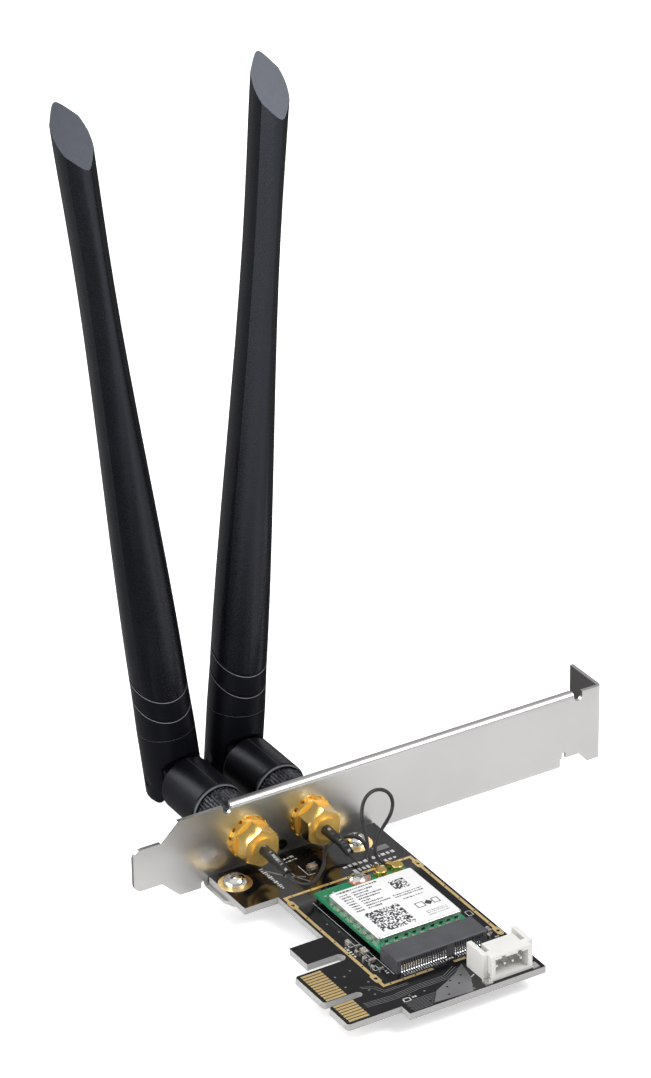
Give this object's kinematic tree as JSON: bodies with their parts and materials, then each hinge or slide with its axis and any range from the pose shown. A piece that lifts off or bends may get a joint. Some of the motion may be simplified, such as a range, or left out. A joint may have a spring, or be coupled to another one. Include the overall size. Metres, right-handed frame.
{
  "type": "wireless network card",
  "caption": "Slot-in wireless network card: folded bracket, edge-connector board, socketed radio module, pigtail leads and hinged whip antennas on panel jacks.",
  "frame": {"origin": "middle of the key notch on the connector edge, on the component face of the board", "axes": "+X up from the connector edge towards the bracket's top tab, +Y towards the bracket and the outside of the computer, +Z out of the board's component face"},
  "size_m": [0.12, 0.108, 0.174],
  "materials": {
    "bracket_nickel": "satin nickel plate on folded steel sheet",
    "screw_nickel": "bright nickel plate",
    "board_mask": "gloss black solder mask on glass-fibre board",
    "gold_plate": "polished gold plate",
    "tin_plate": "tinned metal",
    "socket_plastic": "matt black moulding",
    "module_mask": "green solder mask on glass-fibre board",
    "label_paper": "white label stock",
    "copper": "bare copper",
    "chip_moulding": "matt moulded chip body",
    "part_ceramic": "fired ceramic",
    "header_nylon": "ivory moulding",
    "insulator_white": "white insulator",
    "shrink_black": "satin black shrink tube",
    "lead_black": "satin black lead jacket",
    "antenna_black": "fine matt black moulding",
    "whip_black": "fine matt black rubber",
    "pin_black": "black moulded pin",
    "lens_smoke": "smoked dark lens"
  },
  "bodies": {
    "card": {"bracket": "bracket_nickel", "bracket_screws": "screw_nickel", "circuit_board": "board_mask", "plated_pads": "gold_plate", "edge_contacts": "gold_plate", "module_socket": "socket_plastic", "socket_leads": "tin_plate", "standoff": "screw_nickel", "module_board": "module_mask", "module_ground_pad": "copper", "radio_chip": "chip_moulding", "shield_can": "tin_plate", "module_label": "label_paper", "module_receptacles": "gold_plate", "module_screw": "screw_nickel", "module_parts": "part_ceramic", "header_housing": "header_nylon", "header_pins": "tin_plate", "header_anchors": "tin_plate", "surface_parts": "part_ceramic", "surface_part_ends": "tin_plate", "jack_washers": "gold_plate", "light_lens": "lens_smoke", "panel_nuts": "gold_plate", "jack_body_left": "gold_plate", "jack_insulator_left": "insulator_white", "jack_pin_left": "gold_plate", "crimp_ferrule_left": "gold_plate", "shrink_sleeve_left": "shrink_black", "coax_lead_left": "lead_black", "cable_plug_left": "gold_plate", "jack_body_right": "gold_plate", "jack_insulator_right": "insulator_white", "jack_pin_right": "gold_plate", "crimp_ferrule_right": "gold_plate", "shrink_sleeve_right": "shrink_black", "coax_lead_right": "lead_black", "cable_plug_right": "gold_plate"},
    "screw_sleeve_left": {"knurled_sleeve_left": "antenna_black", "coupling_nut_left": "gold_plate"},
    "elbow_left": {"elbow_left": "antenna_black", "plug_body_left": "gold_plate", "plug_insulator_left": "insulator_white", "plug_contact_left": "gold_plate"},
    "whip_left": {"hinge_pin_left": "pin_black", "fork_left": "antenna_black", "collar_left": "antenna_black", "whip_left": "whip_black", "radiator_left": "copper"},
    "screw_sleeve_right": {"knurled_sleeve_right": "antenna_black", "coupling_nut_right": "gold_plate"},
    "elbow_right": {"elbow_right": "antenna_black", "plug_body_right": "gold_plate", "plug_insulator_right": "insulator_white", "plug_contact_right": "gold_plate"},
    "whip_right": {"hinge_pin_right": "pin_black", "fork_right": "antenna_black", "collar_right": "antenna_black", "whip_right": "whip_black", "radiator_right": "copper"}
  },
  "joints": [
    {"name": "swivel_left", "type": "hinge", "parent": "card", "child": "elbow_left", "pos_m": [0.01515, 0.0566, 0.0067], "axis": [0, 1, 0], "range_deg": [-173, 6]},
    {"name": "tilt_left", "type": "hinge", "parent": "elbow_left", "child": "whip_left", "pos_m": [0.01515, 0.0896, 0.0067], "axis": [0.9931, 0, 0.1175], "range_deg": [-90, 0]},
    {"name": "spin_left", "type": "hinge", "parent": "card", "child": "screw_sleeve_left", "pos_m": [0.01515, 0.0566, 0.0067], "axis": [0, 1, 0], "continuous": true},
    {"name": "swivel_right", "type": "hinge", "parent": "card", "child": "elbow_right", "pos_m": [0.0307, 0.0566, 0.0067], "axis": [0, 1, 0], "range_deg": [-4, 175]},
    {"name": "tilt_right", "type": "hinge", "parent": "elbow_right", "child": "whip_right", "pos_m": [0.0307, 0.0896, 0.0067], "axis": [0.9966, 0, -0.0828], "range_deg": [-90, 0]},
    {"name": "spin_right", "type": "hinge", "parent": "card", "child": "screw_sleeve_right", "pos_m": [0.0307, 0.0566, 0.0067], "axis": [0, 1, 0], "continuous": true}
  ]
}
